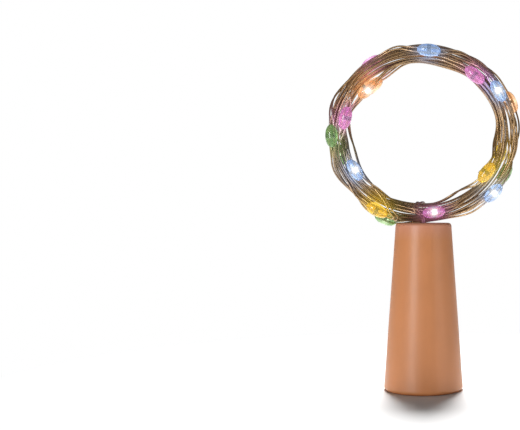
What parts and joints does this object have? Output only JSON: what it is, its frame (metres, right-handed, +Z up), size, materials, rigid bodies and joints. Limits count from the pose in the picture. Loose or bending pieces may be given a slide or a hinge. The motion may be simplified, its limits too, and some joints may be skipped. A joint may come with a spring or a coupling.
{
  "type": "bottle stopper light",
  "caption": "Cork-shaped bottle stopper with a pull-out battery tray, a slide switch and a coiled wire string of small clear-drop lights.",
  "frame": {"origin": "centre of the base, on the surface that the stopper stands on", "axes": "+Z up along the stopper's axis towards its narrow end, +X to the right and -Y towards the viewer, who looks squarely at the coil"},
  "size_m": [0.0593, 0.0228, 0.1011],
  "materials": {
    "cork_plastic": "soft gloss, tan",
    "bush_rubber": "matt",
    "board": "lacquered",
    "steel": "plain",
    "solder": "bright",
    "resistor": "matt",
    "brass": "plain",
    "string_wire": "lacquered copper colour",
    "chip": "matt",
    "drop_pink": "clear, lit pink",
    "drop_white": "clear, lit blue-white",
    "drop_green": "clear, lit green",
    "drop_yellow": "clear, lit yellow",
    "drop_orange": "clear, lit orange",
    "switch_plastic": "matt black",
    "cell_core": "zinc paste",
    "seal": "matt"
  },
  "bodies": {
    "cork": {"cork_shell": "cork_plastic", "hole_bush": "bush_rubber", "main_board": "board", "board_screws": "steel", "resistor_body": "resistor", "resistor_caps": "solder", "board_solder": "solder", "positive_spring": "steel", "side_strip": "brass", "lead_throat": "string_wire", "inner_leads": "string_wire", "string_lead": "string_wire", "string_coil": "string_wire", "light_chips": "chip", "light_drops_pink": "drop_pink", "light_drops_white": "drop_white", "light_drops_green": "drop_green", "light_drops_yellow": "drop_yellow", "light_drops_orange": "drop_orange"},
    "tray": {"tray_frame": "cork_plastic", "switch_board": "board", "switch_pins": "solder", "switch_solder": "solder", "switch_frame": "steel", "switch_housing": "switch_plastic", "tray_leaf": "brass", "negative_strip": "brass", "negative_spring": "steel", "cell_cans": "steel", "cell_seals": "seal", "cell_caps": "steel", "cell_cores": "cell_core"},
    "knob": {"switch_knob": "switch_plastic", "switch_wiper": "brass"}
  },
  "joints": [
    {"name": "tray_slide", "type": "slide", "parent": "cork", "child": "tray", "axis": [0, 0, -1], "range_m": [0, 0.026]},
    {"name": "switch_slide", "type": "slide", "parent": "tray", "child": "knob", "axis": [1, 0, 0], "range_m": [0, 0.002]}
  ]
}
